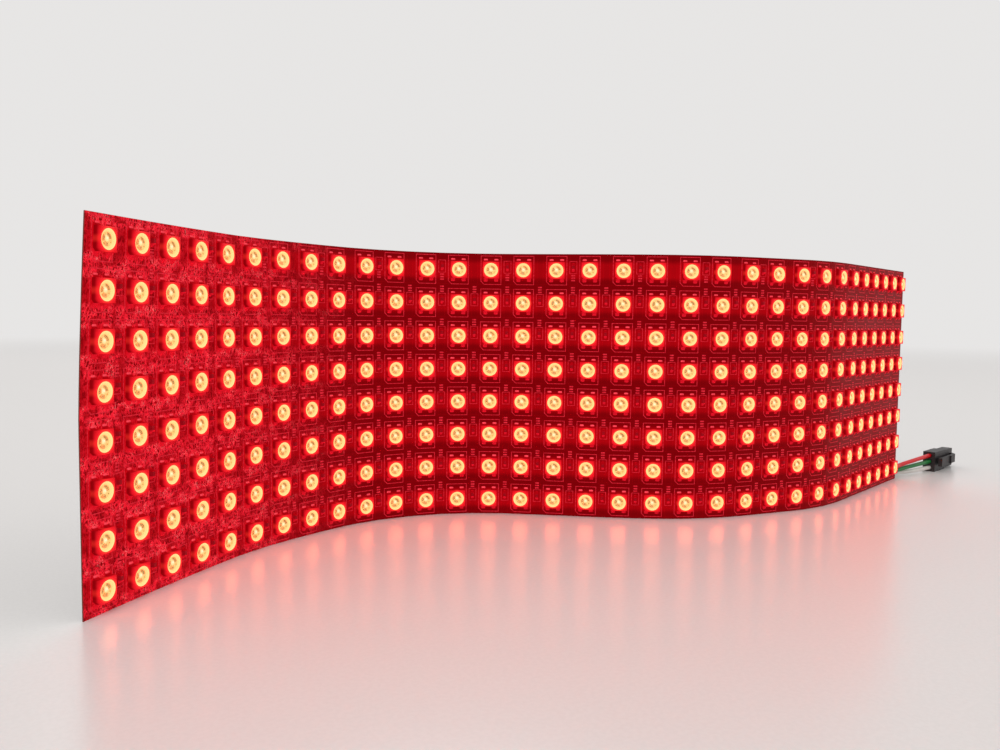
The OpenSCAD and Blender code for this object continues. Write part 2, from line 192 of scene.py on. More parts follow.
class Finish:
    """A material whose nodes feed one Principled shader."""

    def __init__(self, name, **constants):
        self.material = bpy.data.materials.new(name)
        self.material.use_nodes = True
        self.tree = self.material.node_tree
        self.shader = self.tree.nodes["Principled BSDF"]
        for socket, value in constants.items():
            self.shader.inputs[socket.replace("_", " ").title().replace("Ior", "IOR")].default_value = value

    def node(self, kind, settings=(), values=(), output=0):
        """Adds a node: its settings first, then the value or the link of each socket."""
        made = self.tree.nodes.new(kind)
        for name, value in dict(settings).items():
            setattr(made, name, value)
        for socket, value in dict(values).items():
            if isinstance(value, Shade):
                self.tree.links.new(value.socket, made.inputs[socket])
            else:
                made.inputs[socket].default_value = value
        return Shade(self, made.outputs[output])

    def feed(self, **sockets):
        """Links what changes over the surface to the shader."""
        for socket, value in sockets.items():
            self.tree.links.new(value.socket, self.shader.inputs[socket.replace("_", " ").title()])

    def drawn_place(self, attribute):
        """Where a point lies in its piece's own drawing, in mm, as three values."""
        place = self.node("ShaderNodeAttribute", {"attribute_name": attribute}, output="Vector")
        return [self.node("ShaderNodeSeparateXYZ", (), {0: place}, output=k) for k in range(3)]

    def object_place(self):
        return self.node("ShaderNodeTexCoord", output="Object")

    def vector(self, x, y, z=0.0):
        return self.node("ShaderNodeCombineXYZ", (), {0: x, 1: y, 2: z})

    def noise(self, place, scale, detail=3.0, roughness=0.55):
        return self.node("ShaderNodeTexNoise", (), {
            "Vector": place, "Scale": scale, "Detail": detail, "Roughness": roughness})

    def bump(self, height, strength, distance, normal=None):
        values = {"Height": height, "Strength": strength, "Distance": distance}
        if normal is not None:
            values["Normal"] = normal
        return self.node("ShaderNodeBump", (), values)


def colour(red, green, blue):
    """A colour written as on a screen, from 0 to 255."""
    def linear(value):
        share = value / 255
        return share / 12.92 if share <= 0.04045 else ((share + 0.055) / 1.055) ** 2.4
    return (linear(red), linear(green), linear(blue), 1.0)


def lamp_colour(red, green, blue, times):
    """The colour of a lit surface whose red is so strong that an eye or a sensor sees no more of it."""
    seen = colour(red, green, blue)
    return (seen[0] * times, seen[1], seen[2], 1.0)


def wire_cover(name, base, rubbed):
    """Soft extruded plastic: an even colour with a faint bloom and fine rubbed spots."""
    finish = Finish(name, ior=1.5, specular_ior_level=0.45)
    place = finish.object_place()
    bloom = finish.noise(place, 180, detail=2)
    rub = finish.noise(place, 3200, detail=2)
    finish.feed(
        base_color=(bloom.rise(0.3, 0.7) * 0.5 + rub.rise(0.35, 0.7) * 0.5).between(base, rubbed),
        roughness=0.32 + 0.14 * rub,
        normal=finish.bump(rub, 0.12, 0.00003))
    return finish.material


wire_d = 1.6
plug_at, plug_turn = Vector((27, -5)), math.radians(-3)
plug_w, contact_pitch, contact_start = 8, 2.5, 4
wires = {
    "power_wire": (2, 132.0, "red_cover", [
        (-24, 1.3, 44), (-35, 1.3, 41), (-43, 1.3, 33), (-45.5, 1.3, 22), (-42, 1.2, 10.5),
        (-34, 1.2, 3.2), (-24, 1.2, 1), (-12, 1.2, 1.5), (-2, 1.2, 2.9), (6, 0.2, 4.3),
        (16, -3.1, 5.8)], colour(214, 14, 26), colour(198, 10, 22)),
    "data_wire": (1, 125.5, "green_cover", [
        (-24, 1.4, 40), (-34, 1.7, 37.2), (-41, 2.1, 30), (-43.5, 2.4, 20), (-40, 2.7, 9.5),
        (-33, 2.9, 3), (-24, 3, 1), (-12, 3, 1), (-3, 2.8, 1.5), (6, 1, 2.4),
        (16, -2.6, 3.5)], colour(34, 120, 58), colour(29, 109, 52)),
    "ground_wire": (0, 119.3, "white_cover", [
        (-24, 1.5, 36), (-33, 2.2, 33.5), (-39, 3, 27), (-41.5, 3.8, 18), (-38, 4.4, 8.8),
        (-32, 4.7, 2.9), (-24, 4.8, 1.1), (-12, 4.8, 0.9), (-3, 4.5, 0.9), (6, 2.3, 1),
        (16, -1.9, 1.2)], colour(222, 216, 211), colour(210, 204, 198)),
}
end_centre, end_heading = circuit_at(board_l)


def at_right_end(x, y, z):
    flat = end_centre + x * along(end_heading) + y * behind(end_heading)
    return Vector((flat.x, flat.y, z)) * MM


def in_plug(k, depth):
    return (plug_at.x + depth * math.cos(plug_turn), plug_at.y + depth * math.sin(plug_turn),
            plug_w / 2 + (k - 1) * contact_pitch)


def smooth_route(points, steps):
    """A smooth curve through the points, with so many steps from each to the next."""
    points = [2 * points[0] - points[1], *points, 2 * points[-1] - points[-2]]
    route = []
    for a, b, c, d in zip(points, points[1:], points[2:], points[3:]):
        for k in range(steps):
            t = k / steps
            route.append(0.5 * (2 * b + (c - a) * t + (2 * a - 5 * b + 4 * c - d) * t * t
                                + (3 * b - a - 3 * c + d) * t ** 3))
    return route + [points[-2]]


for name, (k, length, slot, points, base, rubbed) in wires.items():
    start = (-15.9, 1.25, board_h / 2 + (k - 1) * 4)
    route = [start, *points, in_plug(k, 0), in_plug(k, contact_start)]
    route = smooth_route([at_right_end(*p) for p in route], 8)
    line = bpy.data.curves.new(name + "_cover", "CURVE")
    line.dimensions = "3D"
    line.bevel_depth = wire_d / 2 * MM
    line.bevel_resolution = 4
    line.use_fill_caps = True
    spline = line.splines.new("POLY")
    spline.points.add(len(route) - 1)
    for point, place in zip(spline.points, route):
        point.co = (*place, 1)
    spline.use_smooth = True
    line.materials.append(wire_cover(name + "_plastic", base, rubbed))
    cover = bpy.data.objects.new(name + "_cover", line)
    bpy.context.scene.collection.objects.link(cover)
    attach(cover, "root")
    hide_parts(name)
    length * MM

# ---- Flexible circuit -----------------------------------------------------------------------
# Copper foil between two black polyimide cover films, 0.3 mm thick in all. The film is pressed
# over the copper, so it is glossy and uneven, and it wrinkles where the circuit was rolled up.


class Form:
    """Points and faces of a piece, in the millimetres of its own drawing."""

    def __init__(self):
        self.points, self.faces, self.slots = [], [], []

    def ring(self, points):
        first = len(self.points)
        self.points += points
        return list(range(first, first + len(points)))

    def face(self, corners, slot=0):
        self.faces.append(list(corners))
        self.slots.append(slot)

    def bridge(self, low, high, slots=0):
        """Quads from one closed ring to the next; slots is one number or one for each quad."""
        for k in range(len(low)):
            m = (k + 1) % len(low)
            self.face((low[k], low[m], high[m], high[k]), slots if isinstance(slots, int) else slots[k])

    def stack(self, rings, slots=0):
        """A closed solid through rings of as many points each, flat at both ends."""
        made = [self.ring(r) for r in rings]
        if isinstance(slots, int):
            slots = [slots] * (len(rings) + 1)
        self.face(reversed(made[0]), slots[0])
        for low, high, slot in zip(made, made[1:], slots[1:]):
            self.bridge(low, high, slot)
        self.face(made[-1], slots[-1])

    def add(self, other, move=lambda p: p):
        first = len(self.points)
        self.points += [move(p) for p in other.points]
        self.faces += [[first + k for k in face] for face in other.faces]
        self.slots += other.slots


def make_piece(name, form, materials, places=None, attribute="drawn", sharp=35):
    """A mesh piece on the part's one body. places are the points in the drawing that its material reads."""
    mesh = bpy.data.meshes.new(name)
    mesh.from_pydata([Vector(p) * MM for p in form.points], [], form.faces)
    for material in materials:
        mesh.materials.append(material)
    mesh.polygons.foreach_set("material_index", form.slots)
    if places:
        held = mesh.attributes.new(attribute, "FLOAT_VECTOR", "POINT")
        held.data.foreach_set("vector", [value for place in places for value in place])
    mesh.shade_smooth()
    mesh.set_sharp_from_angle(angle=math.radians(sharp))
    mesh.update()
    piece = bpy.data.objects.new(name, mesh)
    bpy.context.scene.collection.objects.link(piece)
    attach(piece, "root")
    return piece


curl_out, curl_l, curl_low = 2.3, 52, 38


def curl(s, z):
    """How far the upper left corner, which lay innermost in the roll, still leans forward."""
    return (curl_out * max(0.0, 1 - s / curl_l) ** 1.2
            * max(0.0, (z - curl_low) / (board_h - curl_low)) ** 1.3)


def on_circuit(s, z, out):
    """Place at s along the circuit and z up it, out in front of the middle of its thickness."""
    centre, heading = circuit_at(s)
    flat = centre - (out + curl(s, z)) * behind(heading)
    return (flat.x, flat.y, z)


edge_chamfer, lifts = 0.04, 20
heights = [edge_chamfer, *(board_h * k / lifts for k in range(1, lifts)), board_h - edge_chamfer]
outline = [
    *((board_t / 2, z) for z in heights),
    (board_t / 2 - edge_chamfer, board_h), (edge_chamfer - board_t / 2, board_h),
    *((-board_t / 2, z) for z in reversed(heights)),
    (edge_chamfer - board_t / 2, 0), (board_t / 2 - edge_chamfer, 0),
]
stations = [0.0]
for column in range(columns):
    middle = edge_margin + column * pitch
    if column:
        stations.append(middle - flat_l / 2)
    if column < columns - 1:
        stations += [middle + flat_l / 2 + bend_l * k / 10 for k in range(10)]
stations.append(float(board_l))

front_film, back_film, cut_edge = 0, 1, 2
circuit_form = Form()
circuit_places = []
made = []
for s in stations:
    made.append(circuit_form.ring([on_circuit(s, z, out) for out, z in outline]))
    circuit_places += [(s, z, out) for out, z in outline]
outline_slots = [front_film] * lifts + [cut_edge] * 3 + [back_film] * lifts + [cut_edge] * 3
for low, high in zip(made, made[1:]):
    circuit_form.bridge(high, low, outline_slots)
last = 2 * lifts + 3
for k in range(-1, lifts + 1):
    front_and_back = (k, k + 1, last - k - 1, last - k)
    circuit_form.face([made[0][j] for j in front_and_back], cut_edge)
    circuit_form.face([made[-1][j] for j in reversed(front_and_back)], cut_edge)

# painted light: the black front film is coloured with the LEDs' red light, dark_red where little falls and
# lit_red where much falls
dark_red, lit_red = colour(122, 2, 8), colour(204, 6, 18)
glint_red, spark_red = colour(255, 34, 54), colour(255, 140, 138)
# painted reflection: a red tint on the reflections of the film, ink, plastic, tin and ceramic, as if they
# mirrored the LEDs' red light
red_sheen = (1.0, 0.06, 0.08, 1.0)

film = Finish("front_cover_film", specular_ior_level=0.06, ior=1.5, specular_tint=red_sheen,
              emission_strength=0.8)
s, z, _ = film.drawn_place("sheet")
across = s % pitch - pitch / 2
up = z % pitch - pitch / 2
plane = film.vector(s, z)
# painted light: near is a pool of red light round each package, beside a band of it at the packages' height
near = 1 - (abs(across).larger(abs(up)) - 2.5).rise(0.0, 1.6)
beside = 1 - abs(up).rise(1.6, 3.6)
rolled = 1 - s.rise(30, 100)
cloudy = film.noise(plane, 0.06, detail=2)
# copper runs under the film: a wide power run between the rows and a narrow one beside each column
run_line = 1 - abs(abs(up) - 4.25).rise(0.05, 0.16)
side_line = 1 - abs(abs(across) - 4.1).rise(0.04, 0.13)
copper = (run_line + side_line).smaller(1.0)
# the film's folds are crooked ridges: they hang down from each package and fill the strip below it
strip = abs(up).rise(2.2, 3.2)
hanging = film.noise(film.vector(s * 1.25, z * 0.55), 1.0, detail=3, roughness=0.6)
crossing = film.noise(film.vector(s * 0.95 + 40, z * 1.15), 1.0, detail=3, roughness=0.66)
patches = film.noise(plane, 0.3, detail=2)
ridge = (1 - abs(hanging - 0.5).rise(0.012, 0.062)) * (0.3 + 0.7 * strip)
crease = (1 - abs(crossing - 0.47).rise(0.008, 0.045)) * (0.22 + 0.6 * strip)
# painted glints: fold_light brightens the folds' ridges in patches, only where the circuit was rolled
fold_light = (ridge.larger(crease) * rolled * (0.3 + 1.1 * patches.rise(0.36, 0.6))).smaller(1.0)
# painted highlight: sparkles in the strips between the rows, where the two sets of folds meet
spark = ((1 - abs(crossing - hanging).rise(0.004, 0.02)) * rolled * strip
         * patches.rise(0.5, 0.66)).smaller(1.0)
# painted light and shade: a pool round each package, a band at the packages' height, a brighter rolled part
# and lighter copper runs over their real pattern, with random cloudy tone and painted shade between the
# folds of the rolled part
lit = (near * (0.22 + 0.3 * rolled) + beside * (0.42 - 0.36 * rolled) + rolled * 0.3 + copper * 0.12
       + (cloudy - 0.5) * 0.3 - 0.3 * rolled * (1 - hanging.rise(0.34, 0.5)))
film_painted_red_light = spark.between(
    fold_light.between(lit.rise(-0.1, 1.0).between(dark_red, lit_red), glint_red), spark_red)
film_height = (copper * 0.5 + (0.2 + 0.9 * rolled) * (ridge + crease)
               + 0.3 * film.noise(plane, 0.9, detail=3))
# the painted red light is both the film's colour and its emission, so the film glows though it is no lamp
film.feed(
    base_color=film_painted_red_light.times(0.22),
    emission_color=film_painted_red_light,
    roughness=0.38 + 0.25 * cloudy,
    normal=film.bump(film_height, 0.3, 0.0001))

black, copper_black = colour(21, 20, 22), colour(37, 33, 33)
back = Finish("back_cover_film", specular_ior_level=0.4, ior=1.5)
s, z, _ = back.drawn_place("sheet")
plane = back.vector(s, z)
across, up = s % pitch - pitch / 2, z % pitch - pitch / 2
mottle = back.noise(plane, 0.16, detail=4)
grain = back.noise(plane, 1.6, detail=3)
# under this film lie a broad power run along each row's border, the data line that steps down
# beside each package, and plated holes that join the runs to the front
rail = 1 - abs(abs(up) - 4.1).rise(0.52, 0.66)
step = up + 0.9 - 1.8 * (1 - across.rise(-0.9, 0.9))
data_line = (1 - abs(step).rise(0.13, 0.22)) * (1 - abs(across).rise(4.2, 4.3))
to_hole = ((abs(across) - 3.3) ** 2 + (abs(up) - 2.3) ** 2) ** 0.5
stub = (1 - abs(abs(across) - 3.3).rise(0.12, 0.2)) * abs(up).rise(2.2, 2.4)
runs = rail.larger(data_line).larger(stub).larger(1 - to_hole.rise(0.34, 0.42))
hole = 1 - to_hole.rise(0.1, 0.2)
back.feed(
    base_color=(runs * 0.55 + mottle.rise(0.35, 0.75) * 0.3).between(black, copper_black),
    roughness=0.34 + 0.2 * mottle + 0.06 * grain,
    normal=back.bump(runs - 0.9 * hole + 0.22 * grain, 0.45, 0.00005))

edge = Finish("cut_polyimide_edge", specular_ior_level=0.4, emission_strength=0.25)
s, z, out = edge.drawn_place("sheet")
layer = 1 - abs(out).rise(0.02, 0.07)
grain = edge.noise(edge.vector(s, z, out * 4), 2.0, detail=2)
# the dark coverlays and amber core are the edge's own layers; their red tint and the emission are painted
# red light, so the edge glows
edge_layers_and_glow = (layer * 0.7 + grain * 0.3).between(colour(52, 4, 6), colour(150, 46, 22))
edge.feed(base_color=edge_layers_and_glow, emission_color=edge_layers_and_glow, roughness=0.5 + 0.2 * grain)

circuit = make_piece("circuit_film", circuit_form, [film.material, back.material, edge.material],
                     circuit_places, "sheet")
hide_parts("flex_circuit")

# ---- Printed outlines -----------------------------------------------------------------------
# White ink, screen printed on the film: an outline round each LED package with its first corner
# cut, a frame round each capacitor, and a plain three-bar mark above the frame.

ink_w, frame_ink_w, ink_t, ink_sunk = 0.18, 0.14, 0.02, 0.005


def has_capacitor(row, gap):
    return row < rows - 1 or gap % 2 == 1


def printed_loop(corners, width, steps):
    """A closed line of ink in s and z, as a thin solid. Its sides are divided, so that it can bend."""
    def inset(by):
        count = len(corners)
        found = []
        for k in range(count):
            a, b, c = (Vector(corners[(k + j) % count]) for j in (-1, 0, 1))
            first, second = (b - a).normalized(), (c - b).normalized()
            left, right = Vector((-first.y, first.x)), Vector((-second.y, second.x))
            found.append(b + (left + right) * by / (1 + left.dot(right)))
        line = []
        for a, b in zip(found, found[1:] + found[:1]):
            line += [a.lerp(b, j / steps) for j in range(steps)]
        return line

    form = Form()
    rings = [form.ring([(p.x, p.y, height) for p in inset(by)])
             for by, height in ((-width / 2, 0), (-width / 2, ink_t), (width / 2, ink_t), (width / 2, 0))]
    for low, high in zip(rings, rings[1:] + rings[:1]):
        form.bridge(low, high)
    return form


def printed_bar(z):
    form = Form()
    corners = [(-bar_w / 2, z - bar_h / 2), (0, z - bar_h / 2), (bar_w / 2, z - bar_h / 2),
               (bar_w / 2, z + bar_h / 2), (0, z + bar_h / 2), (-bar_w / 2, z + bar_h / 2)]
    form.stack([[(*p, 0) for p in corners], [(*p, ink_t) for p in corners]])
    return form


package_w, package_h, cut = 6.1, 8.6, 0.95
package_print = printed_loop(
    [(cut - package_w / 2, -package_h / 2), (package_w / 2, -package_h / 2),
     (package_w / 2, package_h / 2), (-package_w / 2, package_h / 2),
     (-package_w / 2, cut - package_h / 2)], ink_w, 1)
frame_w, frame_low, frame_high = 2.15, -0.85, 2.8
bar_w, bar_h = 1.15, 0.42


def capacitor_marks(bar_heights):
    """A capacitor's frame and its three bars."""
    marks = printed_loop(
        [(-frame_w / 2, frame_low), (frame_w / 2, frame_low), (frame_w / 2, frame_high),
         (-frame_w / 2, frame_high)], frame_ink_w, 3)
    for height in bar_heights:
        marks.add(printed_bar(height))
    return marks


capacitor_print = capacitor_marks((3.4, 4.15, 4.9))
# the top row has no room above its frames, so its marks stand below them
top_print = capacitor_marks((-1.45, -2.2, -2.95))

ink_form, ink_places = Form(), []
for row in range(rows):
    for column in range(columns):
        middle = (edge_margin + column * pitch, edge_margin + row * pitch)
        shapes = [(package_print, middle[0])]
        if column < columns - 1 and has_capacitor(row, column):
            shapes.append((top_print if row == rows - 1 else capacitor_print, middle[0] + pitch / 2))
        for shape, s in shapes:
            ink_places += [(s + p[0], middle[1] + p[1], p[2]) for p in shape.points]
            ink_form.add(shape, lambda p: on_circuit(
                s + p[0], middle[1] + p[1], board_t / 2 - ink_sunk + p[2]))

ink = Finish("white_ink_in_red_light", specular_ior_level=0.3, specular_tint=red_sheen,
             emission_strength=0.7)
s, z, _ = ink.drawn_place("sheet")
worn = ink.noise(ink.vector(s, z), 1.6, detail=3)
# painted light: the white ink is coloured with the LEDs' red light and glows by emission; worn spots are
# darker
ink_painted_red_light = worn.rise(0.3, 0.72).between(colour(238, 50, 66), colour(190, 18, 36))
ink.feed(base_color=ink_painted_red_light.times(0.3), emission_color=ink_painted_red_light, roughness=0.55 + 0.2 * worn)
outlines = make_piece("printed_outlines", ink_form, [ink.material], ink_places, "sheet")

# ---- LED packages ---------------------------------------------------------------------------
# A square white plastic body is moulded round a tinned lead frame, with a round reflector cup and
# one corner cut. The red light that soaks the plastic is painted into its colour and emission, and
# the cup's wall is so bright that it looks yellow.

led_w, led_h, corner_cut = 5, 1.6, 0.7
cup_mouth_r, cup_floor_r = 2.1, 1.5
# the clear filling bends light, which lifts the floor that shows by more than half of the depth
seen_floor_z = 1.12
spokes = 40
edge_r = 0.09
place_lift = 0.2


def housing_ring(inset, height):
    """The body's outline at even angles; two spokes meet the ends of the corner cut."""
    half = led_w / 2 - inset
    reach = half - corner_cut + inset * 0.4
    ring = []
    for k in range(spokes):
        angle = math.tau * (k - spokes / 2) / spokes
        if k == 4:
            ring.append((-half, -reach, height))
        elif k == 6:
            ring.append((-reach, -half, height))
        elif k == 5:
            ring.append(((-half - reach) / 2, (-half - reach) / 2, height))
        else:
            r = half / max(abs(math.cos(angle)), abs(math.sin(angle)))
            ring.append((r * math.cos(angle), r * math.sin(angle), height))
    return ring


def circle(radius, height, count=spokes, x=0.0, y=0.0):
    return [(x + radius * math.cos(math.tau * (k - count / 2) / count),
             y + radius * math.sin(math.tau * (k - count / 2) / count), height) for k in range(count)]


body_finish, cup_finish, floor_finish = 0, 1, 2
housing_form = Form()
housing_form.stack(
    [housing_ring(0, 0), housing_ring(0, 0.75), housing_ring(0.04, led_h - edge_r),
     housing_ring(0.07, led_h - 0.03), housing_ring(0.12, led_h), circle(cup_mouth_r + 0.05, led_h),
     circle(cup_mouth_r, led_h - 0.04), circle(cup_floor_r, seen_floor_z)],
    [body_finish] * 7 + [cup_finish, floor_finish])


def set_on_front(template, spots, seed):
    """The template set at each spot, with the points of its drawing and a number for each copy.

    A spot is the place and heading of the circuit there, and its s and z. The template is drawn with
    its x along the circuit, its y up it and its z out of its front.
    """
    form, places = Form(), []
    chance = random.Random(seed)
    for centre, heading, s, z in spots:
        number = chance.randrange(12)
        places += [(p[0], p[1], p[2] + place_lift + 2 * number) for p in template.points]

        def stand(p):
            out = board_t / 2 + p[2] + curl(s + p[0], z + p[1])
            flat = centre + p[0] * along(heading) - out * behind(heading)
            return (flat.x, flat.y, z + p[1])

        form.add(template, stand)
    return form, places


def led_row(template, row):
    """The template set on each LED of a row."""
    z = edge_margin + row * pitch
    spots = [(*columns_at[k], edge_margin + k * pitch, z) for k in range(columns)]
    return set_on_front(template, spots, 100 + row)


def make_rows(name, template, materials, stands_for=None, sharp=35):
    """One piece for each row of LEDs."""
    for row in range(rows):
        form, places = led_row(template, row)
        piece = make_piece(f"{name}_row_{row + 1}", form, materials, places, "led", sharp)
        if stands_for:
            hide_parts(f"{stands_for}_row_{row + 1}")


def in_led(finish):
    """Where a point lies in its LED: x and y from the middle, the height, and the LED's own number."""
    x, y, held = finish.drawn_place("led")
    height = held % 2.0
    return x, y, height - place_lift, (held - height) / 2


plastic = Finish("body_plastic_in_red_light", specular_ior_level=0.3, ior=1.5,
                 specular_tint=red_sheen, emission_strength=0.85)
x, y, height, number = in_led(plastic)
radius = (x * x + y * y) ** 0.5
# painted shade: the body's lower sides are darker
side = 1 - height.rise(0.55, 1.62)
# painted glow: brightest round the cup's mouth, and darker outward over the top
rim_glow_mask = 1 - radius.rise(2.1, 2.7)
outward = radius.rise(2.5, 3.5)
grain = plastic.noise(plastic.vector(x, y, height + 3 * number), 5.0, detail=3)
top_glow_and_grain = (outward * 0.6 + (grain - 0.5) * 0.3).rise(0.0, 1.0).between(
    lamp_colour(234, 24, 38, 1.1), colour(196, 12, 22))
# the white plastic is coloured with this painted red light and shade and glows by emission; grain is its
# own random tone
body_painted_light = rim_glow_mask.between(
    side.between(top_glow_and_grain, colour(142, 2, 9)), lamp_colour(248, 62, 52, 1.6))
plastic.feed(base_color=body_painted_light.times(0.16), emission_color=body_painted_light,
             roughness=0.42 + 0.2 * grain, normal=plastic.bump(grain, 0.2, 0.00003))

wall = Finish("lit_cup_wall", specular_ior_level=0.3, emission_strength=0.95)
x, y, height, number = in_led(wall)
radius = (x * x + y * y) ** 0.5
flicker = wall.noise(wall.vector(x, y, 3 * number), 1.1, detail=2)
wall_colour = ((radius - 1.5) / 0.6 + (flicker - 0.5) * 0.7).rise(0.0, 1.0).between(
    lamp_colour(254, 231, 142, 8.0), lamp_colour(255, 243, 158, 8.0))
wall.feed(base_color=wall_colour.times(0.05), emission_color=wall_colour, roughness=0.35 + 0.2 * flicker)

lit_x, lit_y = 0.02, 0.22


def from_lit_chip(x, y):
    return ((x - lit_x) * (x - lit_x) + (y - lit_y) * (y - lit_y)) ** 0.5


floor_of_cup = Finish("lit_cup_floor", specular_ior_level=0.3, emission_strength=0.85)
x, y, height, number = in_led(floor_of_cup)
shade = floor_of_cup.noise(floor_of_cup.vector(x, y, 3 * number), 1.6, detail=3)
brown = shade.rise(0.3, 0.7).between(colour(206, 148, 76), colour(180, 122, 58))
radius = (x * x + y * y) ** 0.5
# painted light: a pool of the lit chip's light round it and a bright ring at the foot of the wall, over the
# floor's brown, all glowing by emission
cup_floor_painted_light = radius.rise(1.28, 1.44).between(
    from_lit_chip(x, y).rise(0.4, 0.68).between(lamp_colour(252, 232, 156, 1.5), brown),
    lamp_colour(252, 222, 136, 2.0))
floor_of_cup.feed(base_color=cup_floor_painted_light.times(0.12), emission_color=cup_floor_painted_light,
                  roughness=0.4 + 0.2 * shade)

make_rows("led_bodies", housing_form, [plastic.material, wall.material, floor_of_cup.material],
          "led_housings", sharp=50)

# ---- Inside of the cups ---------------------------------------------------------------------
# On the cup's floor lie the silvered pads of the lead frame, a driver chip and three colour
# chips, joined by gold wires. The red chip is lit. They are bonded with glue and heat.

pad_t, gold_r = 0.03, 0.02
die_pad_r, pads_reach = 0.54, 1.38
spoke_pads = ((92, 136), (200, 216), (290, 366))
driver_x, driver_y = -0.22, -0.88
left_chip, right_chip = (-0.98, 0.34), (1.02, -0.56)


def sector(low, high, inner, outer, height, top):
    """A flat pad between two angles in degrees."""
    steps = 5
    arc = [math.radians(low + (high - low) * k / steps) for k in range(steps + 1)]
    ring = [(outer * math.cos(a), outer * math.sin(a)) for a in arc]
    ring += [(inner * math.cos(a), inner * math.sin(a)) for a in (arc[-1], arc[2], arc[0])]
    form = Form()
    form.stack([[(*p, height) for p in ring], [(*p, top) for p in ring]])
    return form


def chip(x, y, length, width, low, thick, slot):
    """A small block with its upper edges taken off."""
    bevel = min(0.03, thick / 3)
    form = Form()

    def ring(inset, height):
        a, b = length / 2 - inset, width / 2 - inset
        return [(x - a, y - b, height), (x + a, y - b, height), (x + a, y + b, height),
                (x - a, y + b, height)]

    form.stack([ring(0, low), ring(0, low + thick - bevel), ring(bevel, low + thick)], slot)
    return form


def gold_wire(start, end, low, rise, slot):
    """An arched wire with three sides, from one bond to the other."""
    form = Form()
    direction = Vector((end[0] - start[0], end[1] - start[1], 0)).normalized()
    side = Vector((-direction.y, direction.x, 0))
    rings = []
    for k in range(6):
        t = k / 5
        middle = Vector((start[0] + (end[0] - start[0]) * t, start[1] + (end[1] - start[1]) * t,
                         low + 0.12 * (1 - t) + rise * 4 * t * (1 - t)))
        rings.append([tuple(middle + gold_r * (math.cos(a) * side + math.sin(a) * Vector((0, 0, 1))))
                      for a in (-0.52, 1.57, 3.67)])
    form.stack(rings, slot)
    return form


silver_finish, red_chip_finish, dark_chip_finish, gold_finish = 0, 1, 2, 3
inside_form = Form()
pad_top = seen_floor_z + pad_t
inside_form.stack([circle(die_pad_r, seen_floor_z, 16), circle(die_pad_r - 0.01, pad_top, 16)],
                  silver_finish)
for low, high in spoke_pads:
    inside_form.add(sector(low, high, die_pad_r + 0.03, pads_reach, seen_floor_z, pad_top))
inside_form.add(chip(lit_x, lit_y, 0.42, 0.42, pad_top, 0.14, red_chip_finish))
inside_form.add(chip(*left_chip, 0.3, 0.44, seen_floor_z, 0.13, dark_chip_finish))
inside_form.add(chip(*right_chip, 0.34, 0.3, pad_top, 0.12, dark_chip_finish))
bonds = [
    ((-0.06, -0.72), (lit_x, lit_y - 0.08)), ((-0.42, -0.74), (left_chip[0], left_chip[1] - 0.1)),
    ((0.2, -0.8), (right_chip[0] - 0.08, right_chip[1])), ((-0.5, -0.98), (-1.1, -0.54)),
    ((0.16, -1.02), (0.52, -1.12)),
]
for start, end in bonds:
    inside_form.add(gold_wire(start, end, pad_top, 0.12, gold_finish))

silver = Finish("silvered_pad", metallic=0.5, specular_ior_level=0.5, emission_strength=0.9)
x, y, height, number = in_led(silver)
patina = silver.noise(silver.vector(x, y, 3 * number), 2.2, detail=3)
# painted light: the silvered pads are yellow with the lit chip's light, brightest in a pool round it, and
# glow by emission; the patina varies their tone
pad_glow_and_patina = from_lit_chip(x, y).rise(0.3, 0.9).between(
    lamp_colour(255, 248, 188, 2.0),
    patina.rise(0.3, 0.7).between(lamp_colour(250, 218, 136, 1.3), colour(236, 198, 114)))
silver.feed(base_color=pad_glow_and_patina.times(0.16), emission_color=pad_glow_and_patina,
            roughness=0.25 + 0.2 * patina)

lit_chip = Finish("lit_red_chip", emission_strength=1.0)
x, y, height, number = in_led(lit_chip)
chip_r = from_lit_chip(x, y)
chip_glow = chip_r.rise(0.06, 0.32).between(
    lamp_colour(255, 254, 222, 4.0), lamp_colour(255, 248, 180, 3.0))
lit_chip.feed(base_color=chip_glow.times(0.1), emission_color=chip_glow,
              roughness=0.3 + 0.3 * chip_r)

# painted light: the unlit chips glow by emission, brown and olive in the lit chip's light
dark_chip = Finish("unlit_chip", emission_strength=0.75)
x, y, height, number = in_led(dark_chip)
grid = dark_chip.noise(dark_chip.vector(x, y, 3 * number), 7.0, detail=1)
brown_chip = grid.rise(0.35, 0.65).between(colour(208, 150, 86), colour(176, 118, 62))
olive_chip = grid.rise(0.35, 0.65).between(colour(204, 186, 100), colour(170, 150, 76))
chip_glow = x.rise(-0.1, 0.1).between(brown_chip, olive_chip)
dark_chip.feed(base_color=chip_glow.times(0.3), emission_color=chip_glow, roughness=0.25 + 0.2 * grid)

gold = Finish("gold_wire", metallic=1.0, emission_strength=0.6)
x, y, height, number = in_led(gold)
drawn_mark = gold.noise(gold.vector(x, y, 3 * number), 8.0, detail=1)
gold_colour_and_glow = drawn_mark.between(colour(255, 226, 130), colour(246, 190, 92))
# painted light: the gold wires also glow by emission with the lit chip's light
gold.feed(base_color=gold_colour_and_glow, emission_color=gold_colour_and_glow, roughness=0.2 + 0.15 * drawn_mark)

make_rows("led_insides", inside_form,
          [silver.material, lit_chip.material, dark_chip.material, gold.material])

